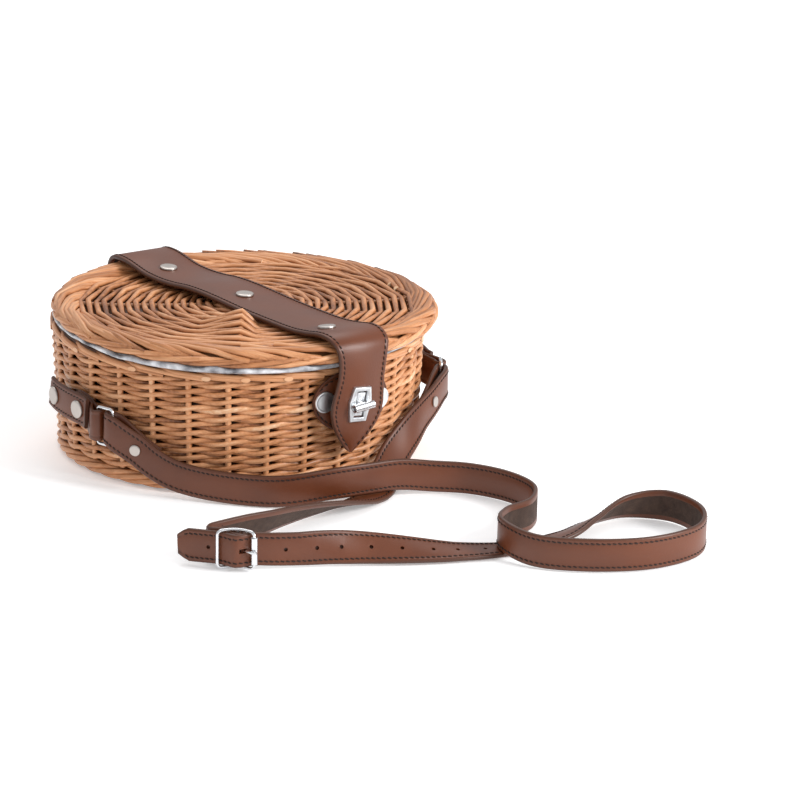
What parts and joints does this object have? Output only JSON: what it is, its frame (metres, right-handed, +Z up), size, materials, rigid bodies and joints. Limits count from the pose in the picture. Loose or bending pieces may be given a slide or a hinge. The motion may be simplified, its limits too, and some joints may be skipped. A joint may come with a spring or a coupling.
{
  "type": "wicker shoulder bag",
  "caption": "Round lidded wicker bag with a leather lid strap, turn lock on the flap, and a leather shoulder strap with a roller buckle laid out on the surface.",
  "frame": {"origin": "centre of the basket's underside, on the surface it stands on", "axes": "+Z up, -Y towards the lock at the front, +X to the right seen from the front"},
  "size_m": [0.2916, 0.4638, 0.1007],
  "materials": {
    "wicker": "varnished peeled rod",
    "lining": "satin",
    "leather": "smooth, stitched edges",
    "metal": "polished"
  },
  "bodies": {
    "bag": {"basket_base": "wicker", "foot_border": "wicker", "basket_wall": "wicker", "rim_border": "wicker", "lid_panel": "wicker", "lid_border": "wicker", "lining": "lining", "lid_strap": "leather", "lock_tab": "leather", "left_tab": "leather", "left_loop": "leather", "right_tab": "leather", "right_loop": "leather", "long_strap": "leather", "short_strap": "leather", "lid_rivet_back": "metal", "lid_rivet_middle": "metal", "lid_rivet_front": "metal", "hinge_rivet_left": "metal", "hinge_rivet_right": "metal", "lock_disc_left": "metal", "lock_disc_right": "metal", "lock_plate": "metal", "lock_base": "metal", "left_tab_rivet_near": "metal", "left_tab_rivet_far": "metal", "left_ring": "metal", "right_tab_rivet_near": "metal", "right_tab_rivet_far": "metal", "right_ring": "metal", "long_strap_rivet": "metal", "short_strap_rivet": "metal", "buckle_frame": "metal", "buckle_roller": "metal", "buckle_prong": "metal"},
    "lock_bar": {"turn_bar": "metal"}
  },
  "joints": [
    {"name": "turn_lock", "type": "hinge", "parent": "bag", "child": "lock_bar", "pos_m": [-0.0025, -0.126, 0.056], "axis": [0, -0.993, -0.1184], "range_deg": [0, 83]}
  ]
}
